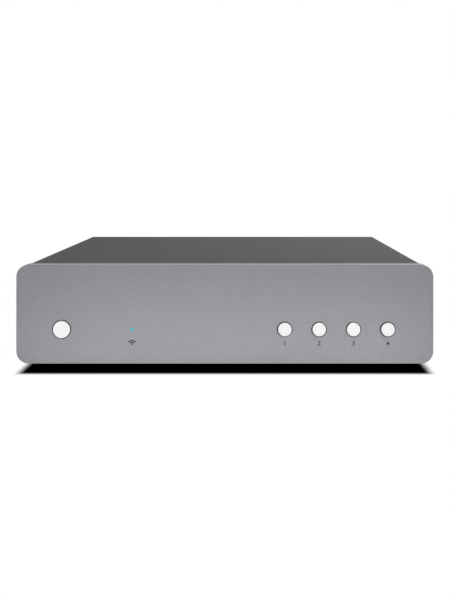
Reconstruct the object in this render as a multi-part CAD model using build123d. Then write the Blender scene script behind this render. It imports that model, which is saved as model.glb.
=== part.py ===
from build123d import *
import math
import os

# A half-width network music streamer in millimetres: +X to the right seen from the front,
# the front faces -Y, +Z up. The origin lies on the surface it stands on, under the middle of
# its outline. Every place below is worked out from the sizes named here.

# Case and front panel
panel_wide = 215.0
panel_high = 51.0
panel_thick = 7.0
panel_corner = 6.35
panel_bevel = 0.15
panel_overhang = 5.1
case_long = 175.5
cover_bend = 1.6
base_inset = 1.0
sheet = 1.2
rim_high = 8.0
lip_high = 5.0
flange_high = 14.0

# Clearances
fit_gap = 0.15
body_gap = 0.3
run_gap = 0.06
screw_gap = 0.05
overrun = 1.0
hex_sides = 6
quarter_turn = 90.0

# Feet
foot_high = 5.5
foot_sole_radius = 8.0
foot_top_radius = 9.0
foot_bead = 1.2
foot_well_radius = 3.6
foot_well_deep = 3.2
foot_inset = 18.6
foot_from_end = 20.0

# Case screws
screw_radius = 1.5
screw_head_radius = 2.75
screw_head_high = 1.8
socket_radius = 1.0
socket_deep = 0.9
screw_long = 6.0
foot_screw_long = 7.0
panel_screw_inset = 6.25
panel_screw_from_edge = 7.0
cover_screw_rise = 9.0
rear_screw_inset = 45.25

# Vent slots in the base
slot_long = 34.0
slot_wide = 2.4
slot_pitch = 6.0
slots_per_field = 7
vent_inset = 55.25
vent_from_front = 48.0

# Buttons
row_rise = 17.6
power_inset = 18.33
power_radius = 4.43
preset_last_inset = 18.35
preset_pitch = 17.7
preset_radius = 3.5
preset_count = 4
button_gap = 0.39
button_proud = 0.7
button_edge = 0.15
button_travel = 0.8
catch_wide = 1.0
catch_thick = 1.0
stem_radius = 1.5
stem_past = 1.6
web_thick = 3.0

# Button guide and the pocket that holds it
guide_inset = 10.1
guide_high = 16.0
guide_thick = 2.0
guide_ledge = 2.0
pocket_corner = 3.0
collar_radius = 2.6
boss_radius = 3.0
key_screw_radius = 1.0
key_screw_head_radius = 1.9
key_screw_head_high = 1.3
key_screw_bite = 2.0

# Switches and key board
switch_size = 6.2
switch_deep = 3.6
switch_wall = 0.8
switch_floor = 0.4
plunger_radius = 1.7
plunger_out = 2.0
plunger_rim = 0.4
plunger_rim_thick = 0.8
board_thick = 1.6
key_board_margin = 1.0
key_board_corner = 1.0

# Status light
led_from_power = 36.21
pipe_radius = 0.75
pipe_body_radius = 1.4
pipe_rim_radius = 2.0
pipe_rim_thick = 1.0
led_size = 1.6
led_high = 0.8

# Main board on its standoffs
standoff_high = 6.0
standoff_radius = 3.0
board_screw_head_high = 1.7
board_screw_bite = 4.5
board_hole_inset = 5.0
board_rear_hole = 34.0
board_side_gap = 6.9
board_apart = 4.0
main_deep = 112.0
main_rear_gap = 0.5

# Network module
module_share = 0.41
module_wide = 46.0
module_deep = 34.0
module_thick = 1.2
module_lift = 4.0
module_header_wide = 5.0
module_from_rear = 52.0
can_margin = 4.0
can_high = 3.2
can_wall = 0.3
can_corner = 1.0

# Chips: places across and along the main board as shares of it, then side and height
chip_shares = ((0.28, 0.14), (0.48, 0.16), (0.70, 0.59), (0.90, 0.10))
chip_sizes = ((18.0, 1.6), (10.0, 1.4), (9.0, 1.4), (7.0, 1.2))

# Capacitors: radius and height of each kind, and how the rows are spaced
main_cap_radius = 4.0
main_cap_high = 11.0
main_cap_pitch = 10.5
main_cap_count = 5
main_cap_from_front = 38.0
main_cap_from_right = 18.0
psu_cap_radius = 8.0
psu_cap_high = 22.0
psu_small_cap_radius = 4.0
psu_small_cap_high = 13.0
psu_small_cap_share = 0.0962
psu_small_cap_count = 3
psu_cap_share = 0.3077

# Power supply
psu_wide_share = 0.2634
psu_deep = 104.0
psu_rear_space = 26.0
film_thick = 0.4
film_margin = 1.5
core_wide = 28.0
core_deep_share = 0.25
core_high = 22.0
core_leg = 6.0
winding_bulge = 2.5
transformer_share = 0.4423
heatsink_clear = 23.0
heatsink_deep = 12.0
heatsink_high = 24.0
heatsink_base = 2.5
fin_thick = 1.2
fin_count = 6
heatsink_share = 0.1154
choke_radius = 7.5
choke_bore = 3.5
choke_thick = 8.0
choke_from_rear = 16.0
choke_from_left = 12.5
fuse_radius = 2.6
fuse_long = 20.0
fuse_cap_long = 5.0
fuse_cap_wall = 0.3
fuse_lift = 1.4
fuse_from_right = 12.0
terminal_wide = 10.0
terminal_deep = 8.0
terminal_high = 9.0
terminal_edge = 0.5
terminal_from_hole = 9.0
supply_share = 0.25

# Mains inlet for a figure-eight lead
inlet_from_left = 15.0
inlet_z = 21.0
inlet_flange_wide = 27.0
inlet_flange_high = 17.0
inlet_flange_thick = 2.0
inlet_corner = 2.5
inlet_body_wide = 22.0
inlet_body_high = 13.0
inlet_body_deep = 17.0
inlet_well_wide = 16.2
inlet_well_high = 8.8
inlet_well_deep = 13.0
inlet_notch = 1.6
inlet_pin_radius = 1.2
inlet_pin_pitch = 8.6
inlet_pin_long = 8.5
inlet_tab_out = 4.0

# Rear sockets that stand on the main board
usb_share = 0.098
usb_wide = 14.4
usb_high = 7.0
usb_deep = 14.0
usb_wall = 0.6
tongue_wide = 11.2
tongue_thick = 1.8
tongue_long = 9.0
tongue_root = 4.0
ethernet_share = 0.271
ethernet_wide = 16.0
ethernet_high = 13.6
ethernet_deep = 17.0
ethernet_shell_wall = 0.4
ethernet_port_wide = 11.9
ethernet_port_high = 7.2
ethernet_port_low = 1.8
ethernet_port_deep = 12.5
ethernet_latch_wide = 6.0
ethernet_latch_high = 2.4
ethernet_contact_count = 8
ethernet_contact_pitch = 1.02
ethernet_contact_radius = 0.23
ethernet_contact_long = 7.0
ethernet_contact_drop = 2.6
optical_share = 0.436
optical_wide = 11.0
optical_high = 11.0
optical_deep = 14.0
optical_port = 8.2
optical_port_corner = 1.2
optical_port_deep = 11.0
shutter_inset = 1.1
shutter_thick = 0.8
shutter_side_gap = 0.3
shutter_pin_radius = 0.4
shutter_pin_long = 0.7
shutter_drop = 0.75
optical_lens_radius = 1.4
optical_lens_out = 1.2
socket_stand_out = 0.6
cutout_gap = 0.3

# Phono sockets
coax_share = 0.602
line_right_share = 0.774
line_left_share = 0.91
phono_lift = 8.5
phono_wide = 12.0
phono_high = 15.0
phono_deep = 11.0
phono_barrel_radius = 4.15
phono_barrel_wall = 0.9
phono_neck_wall = 0.5
phono_barrel_out = 10.0
phono_barrel_in = 4.0
phono_ring_radius = 5.4
phono_ring_thick = 1.6
phono_core_bore = 1.6
phono_core_short = 0.8

# Antennas
antenna_inset = 11.9
antenna_z = 41.0
jack_radius = 3.1
jack_out = 7.4
jack_in = 6.0
jack_rim_radius = 4.2
jack_rim_thick = 2.0
nut_radius = 4.7
nut_thick = 2.2
swivel_radius = 4.75
swivel_ribs = 12
swivel_rib_deep = 0.25
hinge_reach = 15.6
fork_radius = 4.25
fork_half = 4.25
tongue_half = 2.0
hinge_pin_radius = 1.0
rod_radius = 4.25
rod_tip_radius = 3.7
rod_start = 6.6
antenna_tip_gap = 10.0

# Wires
wire_radius = 0.9
wire_bend = 5.0
lead_wide = 8.0
lead_thick = 1.6
coax_wire_radius = 0.65
ribbon_wide = 20.0
ribbon_thick = 0.3
ribbon_bend = 4.0
ribbon_share = 0.436
ribbon_socket_wide = 24.0
ribbon_socket_deep = 5.0
ribbon_socket_high = 2.6

# Holes that clear their screws
screw_hole_radius = screw_radius + screw_gap
key_hole_radius = key_screw_radius + screw_gap

# Heights
base_low = foot_high
floor_top = base_low + sheet
panel_low = base_low - base_inset
panel_top = panel_low + panel_high
panel_mid = panel_low + panel_high / 2
cover_under = panel_top - sheet
tray_top = cover_under - fit_gap
flange_top = base_low + flange_high
lip_top = floor_top + lip_high
row_z = panel_low + row_rise
board_low = floor_top + standoff_high
board_top = board_low + board_thick

# Depths, from the button faces to the backs of the folded antennas
overall_deep = button_proud + panel_thick + case_long + hinge_reach + rod_radius
panel_front = button_proud - overall_deep / 2
panel_back = panel_front + panel_thick
rear_face = panel_back + case_long
rear_inside = rear_face - sheet
button_face = panel_front - button_proud
pocket_floor = panel_front + web_thick
catch_front = pocket_floor + body_gap
catch_back = catch_front + catch_thick
guide_front = catch_back + button_travel + body_gap
guide_back = guide_front + guide_thick
stem_end = guide_back + stem_past
switch_front = stem_end + plunger_out
key_front = switch_front + switch_deep
key_back = key_front + board_thick
main_back = rear_inside - main_rear_gap
main_front = main_back - main_deep
psu_back = rear_inside - psu_rear_space
psu_front = psu_back - psu_deep
core_deep = core_deep_share * psu_deep
psu_small_cap_pitch = psu_small_cap_share * psu_deep
hinge_y = rear_face + hinge_reach
tongue_radius = fork_radius - fit_gap

# Places across the width, from the case's sides inwards
case_wide = panel_wide - 2 * panel_overhang
case_half = case_wide / 2
tray_half = case_half - sheet - fit_gap
foot_x = case_half - foot_inset
panel_screw_x = case_half - panel_screw_inset
rear_screw_x = case_half - rear_screw_inset
vent_x = case_half - vent_inset
power_x = power_inset - case_half
led_x = power_x + led_from_power
preset_last_x = case_half - preset_last_inset
preset_xs = [preset_last_x - preset_pitch * index for index in reversed(range(preset_count))]
buttons = [("power", power_x, power_radius)]
buttons += [(f"preset_{index + 1}", x, preset_radius) for index, x in enumerate(preset_xs)]
guide_wide = case_wide - 2 * guide_inset
boss_places = ((power_x + led_x) / 2, (led_x + preset_xs[0]) / 2, (preset_xs[1] + preset_xs[2]) / 2)
psu_left = board_side_gap - tray_half
main_right = tray_half - board_side_gap
psu_wide = psu_wide_share * (main_right - psu_left)
psu_right = psu_left + psu_wide
main_left = psu_right + board_apart
main_wide = main_right - main_left
module_x = main_left + module_share * main_wide
ribbon_x = main_left + ribbon_share * main_wide
usb_x = main_left + usb_share * main_wide
ethernet_x = main_left + ethernet_share * main_wide
optical_x = main_left + optical_share * main_wide
coax_x = main_left + coax_share * main_wide
line_right_x = main_left + line_right_share * main_wide
line_left_x = main_left + line_left_share * main_wide
inlet_x = psu_left + inlet_from_left
antenna_x = tray_half - antenna_inset
antenna_long = antenna_x - antenna_tip_gap


def along_x(outline, x0, x1):
    """An outline drawn in Y and Z, run from x0 to x1."""
    return extrude(Plane.YZ.offset(x0) * outline, amount=x1 - x0)


def along_y(outline, y0, y1):
    """An outline drawn in X and Z, run from y0 back to y1."""
    return extrude(Plane.XZ.offset(-y0) * outline, amount=y0 - y1)


def along_z(outline, z0, z1):
    """An outline drawn in X and Y, run from z0 up to z1."""
    return extrude(Plane.XY.offset(z0) * outline, amount=z1 - z0)


def disc(across, up, radius):
    return Pos(across, up) * Circle(radius)


def plate(across, up, wide, high):
    return Pos(across, up) * Rectangle(wide, high)


def soft_plate(across, up, wide, high, corner):
    return Pos(across, up) * RectangleRounded(wide, high, corner)


def bar(x0, x1, y0, y1, z0, z1):
    """A block between two opposite corners."""
    centre = Pos((x0 + x1) / 2, (y0 + y1) / 2, (z0 + z1) / 2)
    return centre * Box(abs(x1 - x0), y1 - y0, z1 - z0)


def block(x, y, wide, deep, z0, z1):
    """A block standing on z0, centred on x and y."""
    return bar(x - wide / 2, x + wide / 2, y - deep / 2, y + deep / 2, z0, z1)


def turned(points, x, z):
    """A profile of (radius, depth) points, turned about a line along Y through x and z."""
    face = make_face(Polyline(*points, close=True))
    return Pos(x, 0, z) * revolve(face, Axis.Y)


def pan_screw(radius, length, head_radius, head_high):
    """A screw along Z: its head sits on z = 0, its shank hangs below and its recess is on top."""
    screw = along_z(Circle(head_radius), 0, head_high) + along_z(Circle(radius), -length, 0)
    if head_high > socket_deep:
        recess = RegularPolygon(socket_radius, hex_sides)
        screw -= along_z(recess, head_high - socket_deep, head_high + overrun)
    return screw


def group(solids):
    """Several loose solids kept together in one node."""
    return Compound(children=[shape if isinstance(shape, Solid) else shape.solid() for shape in solids])


# Places that more than one piece shares
foot_spots = [(side * foot_x, y) for side in (-1, 1)
              for y in (panel_back + foot_from_end, rear_face - foot_from_end)]
panel_screw_spots = [(side * panel_screw_x, z) for side in (-1, 1)
                     for z in (panel_low + panel_screw_from_edge, panel_top - panel_screw_from_edge)]
cover_screw_ys = (panel_back + foot_from_end, rear_face - foot_from_end)
cover_screw_z = base_low + cover_screw_rise
rear_screw_spots = [(step * rear_screw_x, z) for step in (-1, 0, 1)
                    for z in (floor_top + lip_high / 2, cover_under - rim_high / 2)]
main_hole_spots = [(x, y) for x in (main_left + board_hole_inset, main_right - board_hole_inset)
                   for y in (main_front + board_hole_inset, main_back - board_rear_hole)]
psu_hole_spots = [(x, y) for x in (psu_left + board_hole_inset, psu_right - board_hole_inset)
                  for y in (psu_front + board_hole_inset, psu_back - board_hole_inset)]
phono_spots = {"rca_left_ring": line_left_x, "rca_right_ring": line_right_x, "coax_ring": coax_x}
phono_z = board_top + phono_lift
phono_bore_radius = phono_barrel_radius - phono_barrel_wall
phono_neck_radius = phono_bore_radius + phono_neck_wall
optical_z = board_top + optical_high / 2
shutter_y = rear_face + socket_stand_out - shutter_inset
shutter_z = optical_z + optical_port / 2 - shutter_drop
socket_face = rear_face + socket_stand_out
module_y = main_back - module_from_rear
module_low = board_top + module_lift
module_top = module_low + module_thick
transformer_x = psu_left + core_wide / 2 + winding_bulge
transformer_y = psu_front + transformer_share * psu_deep
supply_y = psu_front + supply_share * psu_deep
dc_start = (psu_right - terminal_edge - terminal_wide / 2, supply_y)
dc_end = (main_left + board_hole_inset + terminal_from_hole, supply_y)
mains_end = (inlet_x, psu_back - terminal_deep / 2)


def front_panel():
    """The thick plate: rounded corners, button holes, a fine front bevel and a stepped pocket."""
    body = along_y(soft_plate(0, panel_mid, panel_wide, panel_high, panel_corner), panel_front, panel_back)
    for _, x, radius in buttons:
        body -= along_y(disc(x, row_z, radius + button_gap), panel_front - overrun, panel_back)
    body = chamfer(body.faces().sort_by(Axis.Y)[0].edges(), panel_bevel)
    body -= along_y(disc(led_x, row_z, pipe_radius + screw_gap), panel_front - overrun, panel_back)
    deep = soft_plate(0, row_z, guide_wide - 2 * guide_ledge, guide_high - 2 * guide_ledge, pocket_corner)
    for x in boss_places:
        deep -= disc(x, row_z, boss_radius)
    body -= along_y(deep, pocket_floor, panel_back + overrun)
    ledge = soft_plate(0, row_z, guide_wide + 2 * fit_gap, guide_high + 2 * fit_gap, pocket_corner)
    body -= along_y(ledge, guide_front, panel_back + overrun)
    for x in boss_places:
        body -= along_y(disc(x, row_z, key_hole_radius), guide_front - key_screw_bite, panel_back)
    for x, z in panel_screw_spots:
        tip = panel_back + sheet - screw_long - screw_gap
        body -= along_y(disc(x, z, screw_hole_radius), tip, panel_back + overrun)
    return body


def top_cover():
    """One bent sheet: top, two sides and a turned-down rim that takes the rear screws."""
    outer = plate(0, (base_low + panel_top) / 2, case_wide, panel_top - base_low)
    outer = fillet(outer.vertices().group_by(Axis.Y)[-1], cover_bend)
    inner = plate(0, (base_low - overrun + cover_under) / 2, case_wide - 2 * sheet,
                  cover_under - base_low + overrun)
    inner = fillet(inner.vertices().group_by(Axis.Y)[-1], cover_bend - sheet)
    cover = along_y(outer - inner, panel_back, rear_face)
    half = case_wide / 2 - cover_bend
    cover += bar(-half, half, rear_inside - sheet, rear_inside, cover_under - rim_high, cover_under)
    for x, z in rear_screw_spots:
        cover -= along_y(disc(x, z, screw_hole_radius), rear_inside - sheet - overrun, rear_inside)
    for y in cover_screw_ys:
        cover -= along_x(disc(y, cover_screw_z, screw_hole_radius), -case_wide, case_wide)
    return cover


def base_tray():
    """Floor, front upright, low side flanges and rear lip, bent from one sheet."""
    tray = bar(-tray_half, tray_half, panel_back, rear_inside, base_low, floor_top)
    tray += bar(-tray_half, tray_half, panel_back, panel_back + sheet, base_low, tray_top)
    tray += bar(-tray_half, tray_half, rear_inside - sheet, rear_inside, base_low, lip_top)
    for side in (-1, 1):
        outer = side * tray_half
        tray += bar(outer - side * sheet, outer, panel_back, rear_inside, base_low, flange_top)
    window = soft_plate(0, row_z, guide_wide + 2 * body_gap, guide_high + 2 * body_gap, pocket_corner)
    tray -= along_y(window, panel_back - overrun, panel_back + sheet + overrun)
    tray -= along_z(vents(), base_low - overrun, floor_top + overrun)
    for x, y in foot_spots:
        tray -= along_z(disc(x, y, screw_hole_radius), base_low - overrun, floor_top + overrun)
    for x, z in panel_screw_spots:
        tray -= along_y(disc(x, z, screw_hole_radius), panel_back - overrun, panel_back + 2 * sheet)
    for x, z in rear_screw_spots:
        tray -= along_y(disc(x, z, screw_hole_radius), rear_inside - 2 * sheet, rear_inside + overrun)
    for y in cover_screw_ys:
        tray -= along_x(disc(y, cover_screw_z, screw_hole_radius), -case_wide, case_wide)
    return tray


def vents():
    """Two fields of cooling slots in the floor."""
    slots = Sketch()
    for side in (-1, 1):
        for index in range(slots_per_field):
            y = panel_back + vent_from_front + index * slot_pitch
            slots += Pos(side * vent_x, y) * SlotOverall(slot_long, slot_wide)
    return slots


def rear_panel():
    """The flat rear plate with its socket cut-outs."""
    mid = (base_low + tray_top) / 2
    body = along_y(plate(0, mid, 2 * tray_half, tray_top - base_low), rear_inside, rear_face)
    cuts = soft_plate(inlet_x, inlet_z, inlet_body_wide + 2 * cutout_gap, inlet_body_high + 2 * cutout_gap,
                      inlet_corner)
    cuts += plate(usb_x, board_top + usb_high / 2, usb_wide + 2 * cutout_gap, usb_high + 2 * cutout_gap)
    cuts += plate(ethernet_x, board_top + ethernet_high / 2, ethernet_wide + 2 * cutout_gap,
                  ethernet_high + 2 * cutout_gap)
    cuts += plate(optical_x, optical_z, optical_wide + 2 * cutout_gap, optical_high + 2 * cutout_gap)
    for x in phono_spots.values():
        cuts += disc(x, phono_z, phono_neck_radius + cutout_gap)
    for side in (-1, 1):
        cuts += disc(side * antenna_x, antenna_z, jack_radius + screw_gap)
    for x, z in rear_screw_spots:
        cuts += disc(x, z, screw_hole_radius)
    return body - along_y(cuts, rear_inside - overrun, rear_face + overrun)


def feet():
    """Four turned rubber feet, each with a well for its screw head."""
    profile = Polyline((foot_well_radius, 0), (foot_sole_radius - foot_bead, 0),
                       (foot_sole_radius, foot_bead), (foot_top_radius, foot_high),
                       (screw_hole_radius, foot_high), (screw_hole_radius, foot_well_deep),
                       (foot_well_radius, foot_well_deep), close=True)
    foot = revolve(Plane.XZ * make_face(profile), Axis.Z)
    return group([Pos(x, y) * foot for x, y in foot_spots])


def case_screws():
    """Every M3 case screw: feet, front panel, cover sides and rear panel."""
    short = pan_screw(screw_radius, screw_long, screw_head_radius, screw_head_high)
    foot = pan_screw(screw_radius, foot_screw_long, screw_head_radius, screw_head_high)
    screws = [Pos(x, y, foot_well_deep) * Rot(2 * quarter_turn, 0, 0) * foot for x, y in foot_spots]
    screws += [Pos(x, panel_back + sheet, z) * Rot(-quarter_turn, 0, 0) * short for x, z in panel_screw_spots]
    screws += [Pos(x, rear_face, z) * Rot(-quarter_turn, 0, 0) * short for x, z in rear_screw_spots]
    screws += [Pos(side * case_wide / 2, y, cover_screw_z) * Rot(0, side * quarter_turn, 0) * short
               for side in (-1, 1) for y in cover_screw_ys]
    return group(screws)


def button_guide():
    """The moulded bar that steers the button stems and spaces the key board off the panel."""
    body = along_y(soft_plate(0, row_z, guide_wide, guide_high, pocket_corner), guide_front, guide_back)
    for x in boss_places:
        body += along_y(disc(x, row_z, boss_radius), guide_back, key_front)
    for _, x, _ in buttons:
        body += along_y(disc(x, row_z, collar_radius), guide_back, guide_back + stem_past / 2)
        body -= along_y(disc(x, row_z, stem_radius + run_gap), guide_front - overrun, key_front)
    body -= along_y(disc(led_x, row_z, pipe_body_radius + fit_gap), guide_front - overrun, key_front)
    for x in boss_places:
        body -= along_y(disc(x, row_z, key_hole_radius), guide_front - overrun, key_front + overrun)
    return body


def button_cap(x, radius):
    """A turned cap with a broken front edge, a catch that keeps it in the panel and a stem."""
    catch_radius = radius + catch_wide
    return turned([(0, button_face), (radius - button_edge, button_face), (radius, button_face + button_edge),
                   (radius, catch_front), (catch_radius, catch_front), (catch_radius, catch_back),
                   (stem_radius, catch_back), (stem_radius, stem_end), (0, stem_end)], x, row_z)


def switch_plunger(x):
    """The moving stud of one switch, held in by its rim."""
    rim_front = switch_front + switch_wall + body_gap
    rim_back = rim_front + plunger_rim_thick
    return turned([(0, stem_end), (plunger_radius, stem_end), (plunger_radius, rim_front),
                   (plunger_radius + plunger_rim, rim_front), (plunger_radius + plunger_rim, rim_back),
                   (0, rim_back)], x, row_z)


def tact_switches():
    """The five switch bodies, hollow where the plunger travels."""
    switches = []
    for _, x, _ in buttons:
        floor = key_front - switch_floor
        body = along_y(plate(x, row_z, switch_size, switch_size), switch_front, key_front)
        body -= along_y(disc(x, row_z, plunger_radius + run_gap), switch_front - overrun, floor)
        hollow = disc(x, row_z, plunger_radius + plunger_rim + body_gap)
        body -= along_y(hollow, switch_front + switch_wall, floor)
        switches.append(body)
    return group(switches)


def key_board():
    """The long narrow board behind the buttons."""
    wide = guide_wide - 2 * key_board_margin
    high = guide_high - 2 * key_board_margin
    board = along_y(soft_plate(0, row_z, wide, high, key_board_corner), key_front, key_back)
    for x in boss_places:
        board -= along_y(disc(x, row_z, key_hole_radius), key_front - overrun, key_back + overrun)
    return board


def light_pipe():
    """The clear rod that brings the status light to the panel's face."""
    rim_back = pocket_floor + pipe_rim_thick
    pipe_end = key_front - led_high - fit_gap
    return turned([(0, panel_front), (pipe_radius, panel_front), (pipe_radius, pocket_floor),
                   (pipe_rim_radius, pocket_floor), (pipe_rim_radius, rim_back),
                   (pipe_body_radius, rim_back), (pipe_body_radius, pipe_end), (0, pipe_end)], led_x, row_z)


def status_led():
    return along_y(plate(led_x, row_z, led_size, led_size), key_front - led_high, key_front)


def main_board():
    """The main board, with a hole over each standoff."""
    board = bar(main_left, main_right, main_front, main_back, board_low, board_top)
    for x, y in main_hole_spots:
        board -= along_z(disc(x, y, screw_hole_radius), board_low - overrun, board_top + overrun)
    return board


def psu_board():
    """The power supply's board, on its own four standoffs."""
    board = bar(psu_left, psu_right, psu_front, psu_back, board_low, board_top)
    for x, y in psu_hole_spots:
        board -= along_z(disc(x, y, screw_hole_radius), board_low - overrun, board_top + overrun)
    return board


def standoffs():
    """Hexagonal spacers that carry both boards."""
    outline = RegularPolygon(standoff_radius, hex_sides) - Circle(screw_hole_radius)
    spacer = along_z(outline, floor_top, board_low)
    return group([Pos(x, y) * spacer for x, y in main_hole_spots + psu_hole_spots])


def board_screws():
    """The screws of the two boards, and the three long ones through the key board and guide."""
    bite = pan_screw(screw_radius, board_screw_bite, screw_head_radius, board_screw_head_high)
    screws = [Pos(x, y, board_top) * bite for x, y in main_hole_spots + psu_hole_spots]
    reach = key_back - guide_front + key_screw_bite - screw_gap
    long = pan_screw(key_screw_radius, reach, key_screw_head_radius, key_screw_head_high)
    screws += [Pos(x, key_back, row_z) * Rot(-quarter_turn, 0, 0) * long for x in boss_places]
    return group(screws)


def insulation_sheet():
    """The film between the power supply and the steel floor."""
    film = block((psu_left + psu_right) / 2, (psu_front + psu_back) / 2, psu_wide - 2 * film_margin,
                 psu_deep - 2 * film_margin, floor_top, floor_top + film_thick)
    for x, y in psu_hole_spots:
        film -= along_z(disc(x, y, standoff_radius + fit_gap), base_low, board_low)
    return film


def network_module():
    """The plug-in radio board with the header that lifts it off the main board."""
    left = module_x - module_wide / 2
    front = module_y - module_deep
    board = bar(left, left + module_wide, front, module_y, module_low, module_top)
    return board + bar(left, left + module_header_wide, front, module_y, board_top, module_low)


def shield_can():
    """The pressed steel lid over the radio, open below."""
    wide = module_wide - 2 * can_margin
    deep = module_deep - 2 * can_margin
    y = module_y - module_deep / 2
    outer = along_z(soft_plate(module_x, y, wide, deep, can_corner), module_top, module_top + can_high)
    inner = soft_plate(module_x, y, wide - 2 * can_wall, deep - 2 * can_wall, can_corner - can_wall)
    return outer - along_z(inner, module_top - overrun, module_top + can_high - can_wall)


def chips():
    """The main board's larger chips."""
    parts = []
    for (across, back), (side, high) in zip(chip_shares, chip_sizes):
        x = main_left + across * main_wide
        y = main_front + back * main_deep
        parts.append(block(x, y, side, side, board_top, board_top + high))
    return group(parts)


def capacitors():
    """The smoothing capacitors of both boards."""
    small = along_z(Circle(main_cap_radius), board_top, board_top + main_cap_high)
    row_x = main_right - main_cap_from_right
    row_y = main_front + main_cap_from_front
    parts = [Pos(row_x, row_y + index * main_cap_pitch) * small for index in range(main_cap_count)]
    big = along_z(Circle(psu_cap_radius), board_top, board_top + psu_cap_high)
    parts.append(Pos(psu_right - psu_cap_radius - fuse_from_right, psu_back - psu_cap_share * psu_deep) * big)
    low = along_z(Circle(psu_small_cap_radius), board_top, board_top + psu_small_cap_high)
    x = psu_right - board_hole_inset
    y = transformer_y - psu_small_cap_pitch * (psu_small_cap_count - 1) / 2
    parts += [Pos(x, y + index * psu_small_cap_pitch) * low for index in range(psu_small_cap_count)]
    return group(parts)


def transformer_core():
    """Two E-shaped ferrite halves, drawn as one block with its two windows."""
    core = block(transformer_x, transformer_y, core_wide, core_deep, board_top, board_top + core_high)
    window_wide = (core_wide - 3 * core_leg) / 2
    for side in (-1, 1):
        x = transformer_x + side * (core_leg + window_wide) / 2
        core -= block(x, transformer_y, window_wide, 2 * core_deep, board_top + core_leg,
                      board_top + core_high - core_leg)
    return core


def transformer_winding():
    """The wound bobbin round the core's middle leg, showing at both ends."""
    wide = core_wide - 2 * core_leg - 2 * fit_gap
    deep = core_deep + 2 * winding_bulge
    low = board_top + core_leg + fit_gap
    high = board_top + core_high - core_leg - fit_gap
    ring = soft_plate(transformer_x, transformer_y, wide, deep, winding_bulge)
    ring -= plate(transformer_x, transformer_y, core_leg + 2 * fit_gap, core_deep + 2 * fit_gap)
    return along_z(ring, low, high)


def heatsink():
    """A finned extrusion standing on the power supply's board."""
    heatsink_wide = psu_wide - heatsink_clear
    y = psu_front + heatsink_share * psu_deep
    x = psu_left + board_hole_inset + screw_head_radius + heatsink_wide / 2
    profile = plate(x, y, heatsink_wide, heatsink_base)
    pitch = (heatsink_wide - fin_thick) / (fin_count - 1)
    for index in range(fin_count):
        fin_x = x - heatsink_wide / 2 + fin_thick / 2 + index * pitch
        profile += plate(fin_x, y + heatsink_deep / 2, fin_thick, heatsink_deep)
    return along_z(profile, board_top, board_top + heatsink_high)


def mains_choke():
    """The ring-shaped choke, standing on edge."""
    x = psu_left + choke_from_left
    y = psu_back - choke_from_rear
    z = board_top + choke_radius
    ring = disc(x, z, choke_radius) - disc(x, z, choke_bore)
    return along_y(ring, y - choke_thick / 2, y + choke_thick / 2)


def fuse():
    """A glass-size fuse in its holder, with its two metal caps."""
    x = psu_right - fuse_from_right / 2
    z = board_top + fuse_lift + fuse_radius
    y = psu_back - board_hole_inset - screw_head_radius - fuse_long
    body = along_y(disc(x, z, fuse_radius), y, y + fuse_long)
    body -= along_y(disc(x, z, fuse_radius) - disc(x, z, fuse_radius - fuse_cap_wall), y + fuse_cap_long,
                    y + fuse_long - fuse_cap_long)
    for end in (y, y + fuse_long - fuse_cap_long):
        body += bar(x - fuse_radius, x + fuse_radius, end, end + fuse_cap_long, board_top, z)
    return body


def mains_inlet():
    """The snap-in inlet: a flange outside, a body inside and the figure-eight well."""
    body = along_y(soft_plate(inlet_x, inlet_z, inlet_flange_wide, inlet_flange_high, inlet_corner),
                   rear_face, rear_face + inlet_flange_thick)
    body += along_y(soft_plate(inlet_x, inlet_z, inlet_body_wide, inlet_body_high, inlet_corner),
                    rear_face - inlet_body_deep, rear_face)
    mouth = rear_face + inlet_flange_thick
    well = Pos(inlet_x, inlet_z) * SlotOverall(inlet_well_wide, inlet_well_high)
    for side in (-1, 1):
        well -= plate(inlet_x, inlet_z + side * inlet_well_high / 2, inlet_notch, inlet_notch)
    body -= along_y(well, mouth - inlet_well_deep, mouth + overrun)
    for side in (-1, 1):
        pin = disc(inlet_x + side * inlet_pin_pitch / 2, inlet_z, inlet_pin_radius + screw_gap)
        body -= along_y(pin, rear_face - inlet_body_deep - overrun, mouth)
    return body


def mains_pins():
    """The two round pins, run through to solder ends behind."""
    bottom = rear_face + inlet_flange_thick - inlet_well_deep
    pins = []
    for side in (-1, 1):
        x = inlet_x + side * inlet_pin_pitch / 2
        pins.append(along_y(disc(x, inlet_z, inlet_pin_radius), rear_face - inlet_body_deep - inlet_tab_out,
                            bottom + inlet_pin_long))
    return group(pins)


def usb_shell():
    """The folded steel shell of the USB socket."""
    z = board_top + usb_high / 2
    tube = plate(usb_x, z, usb_wide, usb_high)
    tube -= plate(usb_x, z, usb_wide - 2 * usb_wall, usb_high - 2 * usb_wall)
    return along_y(tube, socket_face - usb_deep, socket_face)


def usb_tongue():
    """The insulator: a block that fills the back of the shell and a tongue towards the mouth."""
    z = board_top + usb_high / 2
    inset = usb_wall + screw_gap
    back = socket_face - usb_deep
    root = plate(usb_x, z, usb_wide - 2 * inset, usb_high - 2 * inset)
    tongue = plate(usb_x, z + usb_high / 2 - usb_wall - tongue_thick, tongue_wide, tongue_thick)
    return along_y(root, back, back + tongue_root) + along_y(tongue, back, back + tongue_root + tongue_long)


def ethernet_shell():
    """The network socket's shield, open at the mouth."""
    z = board_top + ethernet_high / 2
    wall = ethernet_shell_wall
    back = socket_face - ethernet_deep
    body = along_y(plate(ethernet_x, z, ethernet_wide, ethernet_high), back, socket_face)
    inner = plate(ethernet_x, z, ethernet_wide - 2 * wall, ethernet_high - 2 * wall)
    return body - along_y(inner, back + wall, socket_face + overrun)


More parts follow.
